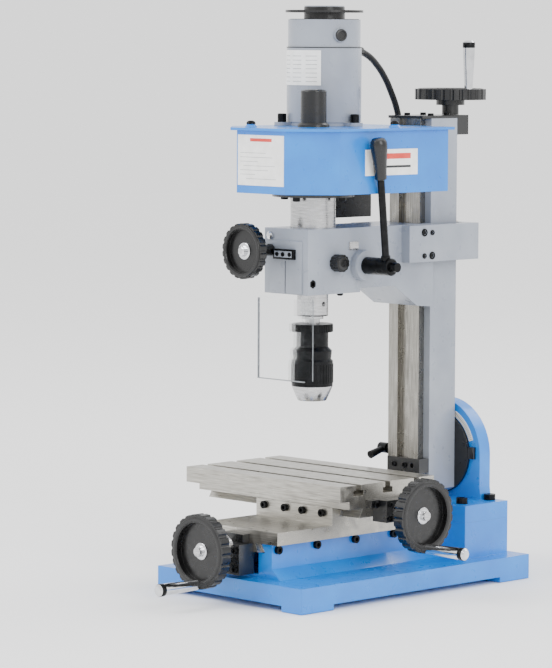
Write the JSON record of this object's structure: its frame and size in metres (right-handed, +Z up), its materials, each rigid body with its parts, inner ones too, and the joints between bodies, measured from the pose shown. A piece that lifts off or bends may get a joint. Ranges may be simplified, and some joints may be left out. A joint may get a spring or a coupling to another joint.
{
  "type": "benchtop milling machine",
  "caption": "Small benchtop milling machine with a cross table, tilting column, sliding head, keyless chuck and belt drive.",
  "frame": {"origin": "on the bench, at the centre of the four bolt holes under the base plinth", "axes": "+X to the operator's right along the table's long travel, +Y from the operator to the column, +Z up"},
  "size_m": [0.3593, 0.4847, 0.6355],
  "materials": {
    "blue_paint": "gloss",
    "grey_paint": "satin",
    "black_paint": "satin",
    "black_steel": "black oxide",
    "ground_iron": "ground",
    "ground_steel": "ground",
    "chrome_plate": "polished",
    "bronze": "machined",
    "cast_aluminium": "turned",
    "black_plastic": "satin",
    "green_plastic": "gloss",
    "red_plastic": "gloss",
    "white_enamel": "satin",
    "clear_sheet": "clear",
    "lead_rubber": "satin"
  },
  "bodies": {
    "base": {"base_casting": "blue_paint", "column_bracket": "blue_paint", "bracket_bolts": "black_steel", "tilt_scale": "white_enamel", "y_nut": "bronze", "y_gib_screws": "black_steel", "y_gib": "ground_steel"},
    "saddle": {"saddle": "ground_iron", "x_gib": "ground_steel", "x_gib_screws": "black_steel", "y_bracket": "black_paint", "x_nut": "bronze"},
    "y_wheel": {"y_feed_screw": "ground_steel", "y_dial": "ground_steel", "y_handwheel": "black_plastic"},
    "y_grip": {"y_handle": "chrome_plate"},
    "table": {"table": "ground_iron", "x_brackets": "black_paint"},
    "x_wheel": {"x_feed_screw": "ground_steel", "x_dial": "ground_steel", "x_handwheel": "black_plastic"},
    "x_grip": {"x_handle": "chrome_plate"},
    "column": {"column": "grey_paint", "column_ways": "ground_iron", "tilt_disc": "black_paint", "column_foot": "black_paint", "column_cap": "black_paint"},
    "clamp": {"column_clamp": "black_steel"},
    "z_wheel": {"z_feed_screw": "ground_steel", "z_handwheel": "black_plastic"},
    "z_grip": {"z_handle": "chrome_plate"},
    "head": {"head_casting": "grey_paint", "z_yoke": "grey_paint", "z_nut": "bronze", "front_plate": "grey_paint", "quill_housing": "ground_steel", "belt_housing": "blue_paint", "belt_lid": "blue_paint", "motor": "grey_paint", "motor_lead": "lead_rubber", "drawbar_cap": "black_plastic", "switch_box": "black_plastic"},
    "quill": {"quill": "ground_steel", "spindle_bearings": "ground_steel"},
    "spindle": {"spindle": "ground_steel", "chuck_body": "black_steel"},
    "chuck_sleeve": {"chuck_sleeve": "black_steel"},
    "jaw_1": {"chuck_jaw_1": "ground_steel"},
    "jaw_2": {"chuck_jaw_2": "ground_steel"},
    "jaw_3": {"chuck_jaw_3": "ground_steel"},
    "feed_lever": {"pinion_shaft": "ground_steel", "feed_lever": "black_steel"},
    "fine_feed": {"fine_feed_shaft": "black_plastic"},
    "worm_wheel": {"worm_wheel": "bronze"},
    "quill_lock": {"quill_lock": "black_plastic"},
    "spindle_pulley": {"spindle_pulley": "cast_aluminium"},
    "motor_pulley": {"motor_pulley": "cast_aluminium"},
    "guard": {"chuck_guard": "clear_sheet"},
    "start_button": {"start_button": "green_plastic"},
    "stop_button": {"stop_button": "red_plastic"}
  },
  "joints": [
    {"name": "saddle_slide", "type": "slide", "parent": "base", "child": "saddle", "axis": [0, 1, 0], "range_m": [-0.05, 0.032]},
    {"name": "y_wheel_turn", "type": "hinge", "parent": "saddle", "child": "y_wheel", "pos_m": [0, -0.163, 0.059], "axis": [0, 1, 0], "range_deg": [-9001.8, 5761.8]},
    {"name": "y_grip_spin", "type": "hinge", "parent": "y_wheel", "child": "y_grip", "pos_m": [0, -0.225, 0.024], "axis": [0, 1, 0], "continuous": true},
    {"name": "table_slide", "type": "slide", "parent": "saddle", "child": "table", "axis": [1, 0, 0], "range_m": [-0.025, 0.09]},
    {"name": "x_wheel_turn", "type": "hinge", "parent": "table", "child": "x_wheel", "pos_m": [0.0845, -0.0225, 0.0923], "axis": [1, 0, 0], "range_deg": [-4501.8, 16201.8]},
    {"name": "x_grip_spin", "type": "hinge", "parent": "x_wheel", "child": "x_grip", "pos_m": [0.1435, -0.0225, 0.0573], "axis": [1, 0, 0], "continuous": true},
    {"name": "column_tilt", "type": "hinge", "parent": "base", "child": "column", "pos_m": [0, 0.147, 0.135], "axis": [0, 1, 0], "range_deg": [-45, 45]},
    {"name": "column_clamp_turn", "type": "hinge", "parent": "column", "child": "clamp", "pos_m": [-0.037, 0.099, 0.14], "axis": [-1, 0, 0], "range_deg": [0, 60]},
    {"name": "z_wheel_turn", "type": "hinge", "parent": "column", "child": "z_wheel", "pos_m": [0, 0.1635, 0.512], "axis": [0, 0, -1], "range_deg": [-8101.8, 14401.8]},
    {"name": "z_grip_spin", "type": "hinge", "parent": "z_wheel", "child": "z_grip", "pos_m": [0.03338, 0.15701, 0.544], "axis": [0, 0, 1], "continuous": true},
    {"name": "head_slide", "type": "slide", "parent": "column", "child": "head", "axis": [0, 0, 1], "range_m": [-0.045, 0.08]},
    {"name": "feed_lever_turn", "type": "hinge", "parent": "head", "child": "feed_lever", "pos_m": [0.043, -0.014, 0.355], "axis": [1, 0, 0], "range_deg": [0, 137.5], "stiffness_Nm_per_rad": 0.25, "springref_deg": -126.05},
    {"name": "quill_slide", "type": "slide", "parent": "head", "child": "quill", "axis": [0, 0, -1], "range_m": [0, 0.03001]},
    {"name": "spindle_spin", "type": "hinge", "parent": "quill", "child": "spindle", "pos_m": [0, -0.054, 0.3], "axis": [0, 0, 1], "continuous": true},
    {"name": "chuck_turn", "type": "hinge", "parent": "spindle", "child": "chuck_sleeve", "pos_m": [0, -0.054, 0.24], "axis": [0, 0, 1], "range_deg": [0, 2160]},
    {"name": "jaw_1_slide", "type": "slide", "parent": "spindle", "child": "jaw_1", "axis": [-0.2588, 0, -0.9659], "range_m": [0, 0.01201]},
    {"name": "jaw_2_slide", "type": "slide", "parent": "spindle", "child": "jaw_2", "axis": [0.1294, -0.2241, -0.9659], "range_m": [0, 0.01201]},
    {"name": "jaw_3_slide", "type": "slide", "parent": "spindle", "child": "jaw_3", "axis": [0.1294, 0.2241, -0.9659], "range_m": [0, 0.01201]},
    {"name": "fine_feed_turn", "type": "hinge", "parent": "head", "child": "fine_feed", "pos_m": [-0.0215, -0.1, 0.3725], "axis": [0, 1, 0], "continuous": true},
    {"name": "worm_wheel_turn", "type": "hinge", "parent": "head", "child": "worm_wheel", "pos_m": [-0.0215, -0.014, 0.355], "axis": [1, 0, 0], "continuous": true},
    {"name": "quill_lock_turn", "type": "hinge", "parent": "head", "child": "quill_lock", "pos_m": [0.033, -0.0525, 0.359], "axis": [1, 0, 0], "range_deg": [-180, 180]},
    {"name": "spindle_pulley_turn", "type": "hinge", "parent": "head", "child": "spindle_pulley", "pos_m": [0, -0.054, 0.42], "axis": [0, 0, 1], "continuous": true},
    {"name": "motor_pulley_turn", "type": "hinge", "parent": "head", "child": "motor_pulley", "pos_m": [-0.036, -0.002, 0.52], "axis": [0, 0, 1], "continuous": true},
    {"name": "guard_swing", "type": "hinge", "parent": "head", "child": "guard", "pos_m": [-0.027, -0.0855, 0.3255], "axis": [0, 0, -1], "range_deg": [0, 100]},
    {"name": "start_press", "type": "slide", "parent": "head", "child": "start_button", "axis": [0, 1, 0], "range_m": [0, 0.003], "stiffness_N_per_m": 300},
    {"name": "stop_press", "type": "slide", "parent": "head", "child": "stop_button", "axis": [0, 1, 0], "range_m": [0, 0.003], "stiffness_N_per_m": 300}
  ],
  "couplings": [
    {"joint": "y_wheel_turn", "follows": "saddle_slide", "rad_per_m": 3141.6},
    {"joint": "x_wheel_turn", "follows": "table_slide", "rad_per_m": 3141.6},
    {"joint": "z_wheel_turn", "follows": "head_slide", "rad_per_m": 3141.6},
    {"joint": "quill_slide", "follows": "feed_lever_turn", "m_per_rad": 0.0125},
    {"joint": "jaw_1_slide", "follows": "chuck_turn", "m_per_rad": 0.00031831},
    {"joint": "jaw_2_slide", "follows": "chuck_turn", "m_per_rad": 0.00031831},
    {"joint": "jaw_3_slide", "follows": "chuck_turn", "m_per_rad": 0.00031831},
    {"joint": "worm_wheel_turn", "follows": "fine_feed_turn", "ratio": 0.033333},
    {"joint": "spindle_pulley_turn", "follows": "spindle_spin", "ratio": 1},
    {"joint": "motor_pulley_turn", "follows": "spindle_spin", "ratio": 1.7222}
  ]
}
